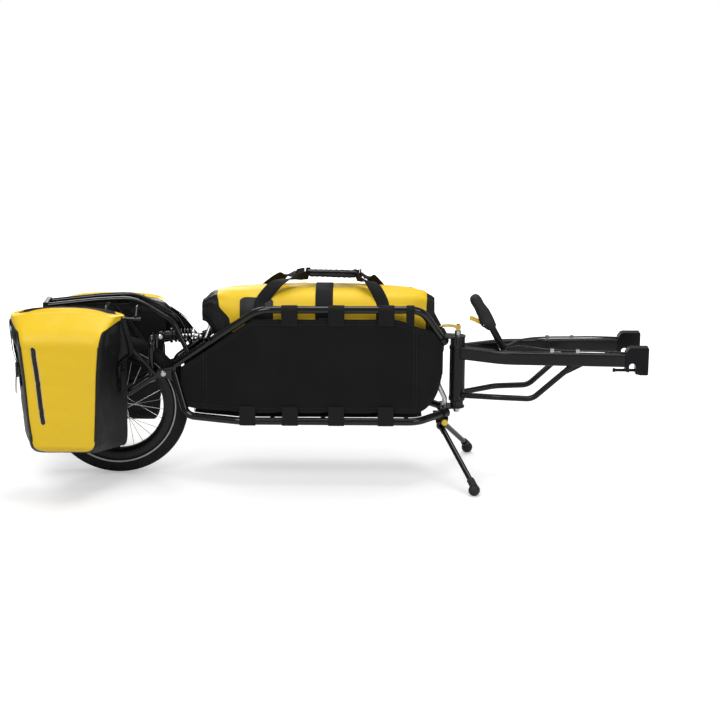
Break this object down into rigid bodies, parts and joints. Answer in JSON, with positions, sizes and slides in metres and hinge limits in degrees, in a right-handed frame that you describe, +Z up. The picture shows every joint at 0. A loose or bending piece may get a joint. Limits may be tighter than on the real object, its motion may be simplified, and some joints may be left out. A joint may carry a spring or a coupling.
{
  "type": "single wheel touring trailer",
  "caption": "Single-wheel cycle touring trailer with sprung swingarm, steering fork, quick-release hitch blocks, black sling frame, rack, two yellow panniers, duffel and kickstand.",
  "frame": {"origin": "on the ground, halfway along the trailer's length and on its centre plane", "axes": "+X forward to the hitch, +Y to the trailer's left, +Z up"},
  "size_m": [1.7448, 0.562, 0.588],
  "materials": {
    "frame_black": "gloss black powder coat",
    "anodised_yellow": "anodised yellow",
    "anodised_black": "anodised black",
    "steel": "bright steel",
    "zinc": "zinc plated",
    "alloy": "machined alloy",
    "tyre_rubber": "matt",
    "soft_rubber": "matt",
    "black_plastic": "matt moulded",
    "yellow_plastic": "satin moulded",
    "sling_cloth": "woven nylon",
    "webbing": "woven webbing",
    "bag_yellow": "coated tarpaulin"
  },
  "bodies": {
    "chassis": {"side_hoop_right": "frame_black", "side_hoop_left": "frame_black", "frame_cross_tubes": "frame_black", "steering_plate_upper": "anodised_black", "steering_plate_lower": "anodised_black", "front_upright": "alloy", "sling_side_right": "sling_cloth", "sling_side_left": "sling_cloth", "sling_floor": "sling_cloth", "sling_bands": "webbing", "rack_arches": "frame_black", "rack_crossbars": "frame_black", "rack_side_rails": "frame_black", "rack_end_block": "black_plastic", "pannier_right": "bag_yellow", "pannier_left": "bag_yellow", "pannier_hooks": "black_plastic", "duffel_body": "bag_yellow", "duffel_straps": "webbing", "duffel_grip": "webbing", "strap_buckles": "black_plastic", "pivot_bolts": "steel", "kickstand_bracket": "anodised_black", "kickstand_pin": "steel", "head_axle": "steel"},
    "swingarm": {"swingarm_arms": "frame_black", "swingarm_arch": "frame_black", "swingarm_dropouts": "frame_black", "swingarm_bushes": "black_plastic", "shock_rear_bolt": "steel", "wheel_axle": "steel", "wheel_skewer": "steel"},
    "shock_damper": {"shock_body": "anodised_black", "shock_collar": "anodised_yellow", "shock_spring": "steel"},
    "shock_rod": {"shock_shaft": "steel"},
    "wheel": {"wheel_tyre": "tyre_rubber", "wheel_rim": "frame_black", "wheel_inner_tube": "soft_rubber", "wheel_hub": "anodised_black", "wheel_bearings": "steel", "wheel_spokes": "steel"},
    "wheel_quick_release": {"wheel_lever": "alloy"},
    "fork": {"fork_head": "frame_black", "head_bushes": "black_plastic", "fork_arm_right": "frame_black", "fork_arm_left": "frame_black", "fork_lower_tubes": "frame_black", "fork_bridge": "anodised_black", "handle_grip": "soft_rubber", "trigger_pin": "steel", "hitch_blocks": "anodised_black", "release_cables": "black_plastic", "cable_clips": "black_plastic"},
    "head_quick_release": {"head_lever": "anodised_yellow"},
    "trigger": {"handle_trigger": "yellow_plastic"},
    "hitch_locks": {"lock_pins": "zinc"},
    "kickstand": {"kickstand_legs": "frame_black", "kickstand_feet": "soft_rubber"},
    "kickstand_lock": {"kickstand_knob": "yellow_plastic"}
  },
  "joints": [
    {"name": "steering", "type": "hinge", "parent": "chassis", "child": "fork", "pos_m": [0.3535, 0, 0.2955], "axis": [0, 0, 1], "range_deg": [-70, 70]},
    {"name": "head_lever_swing", "type": "hinge", "parent": "chassis", "child": "head_quick_release", "pos_m": [0.3535, 0, 0.427], "axis": [0, 1, 0], "range_deg": [0, 105]},
    {"name": "suspension", "type": "hinge", "parent": "chassis", "child": "swingarm", "pos_m": [-0.464, 0, 0.303], "axis": [0, 1, 0], "range_deg": [0, 12], "stiffness_Nm_per_rad": 160, "springref_deg": -7.45},
    {"name": "shock_swivel", "type": "hinge", "parent": "swingarm", "child": "shock_damper", "pos_m": [-0.474, 0, 0.398], "axis": [0, 1, 0], "range_deg": [-12.1, 0.1]},
    {"name": "shock_stroke", "type": "slide", "parent": "shock_damper", "child": "shock_rod", "axis": [-1, 0, 0], "range_m": [-0.0001, 0.0201], "deforming": ["shock_spring"]},
    {"name": "wheel_spin", "type": "hinge", "parent": "swingarm", "child": "wheel", "pos_m": [-0.5995, 0, 0.199], "axis": [0, 1, 0], "continuous": true},
    {"name": "wheel_lever_swing", "type": "hinge", "parent": "swingarm", "child": "wheel_quick_release", "pos_m": [-0.5995, 0.073, 0.199], "axis": [0.8, 0, 0.6], "range_deg": [-170, 0]},
    {"name": "handle_trigger_pull", "type": "hinge", "parent": "fork", "child": "trigger", "pos_m": [0.424, 0, 0.436], "axis": [0, 1, 0], "range_deg": [-0.1, 16.1]},
    {"name": "hitch_lock_draw", "type": "slide", "parent": "fork", "child": "hitch_locks", "axis": [-1, 0, 0], "range_m": [0, 0.02], "stiffness_N_per_m": 150, "springref_m": -0.01},
    {"name": "kickstand_fold", "type": "hinge", "parent": "chassis", "child": "kickstand", "pos_m": [0.3085, 0, 0.15], "axis": [0, 1, 0], "range_deg": [0, 100]},
    {"name": "kickstand_knob_pull", "type": "slide", "parent": "chassis", "child": "kickstand_lock", "axis": [0, -1, 0], "range_m": [0, 0.006], "stiffness_N_per_m": 600, "springref_m": -0.004}
  ],
  "couplings": [
    {"joint": "shock_swivel", "follows": "suspension", "ratio": -1},
    {"joint": "shock_stroke", "follows": "suspension", "m_per_rad": 0.09535},
    {"joint": "handle_trigger_pull", "follows": "hitch_lock_draw", "rad_per_m": 13.963}
  ]
}
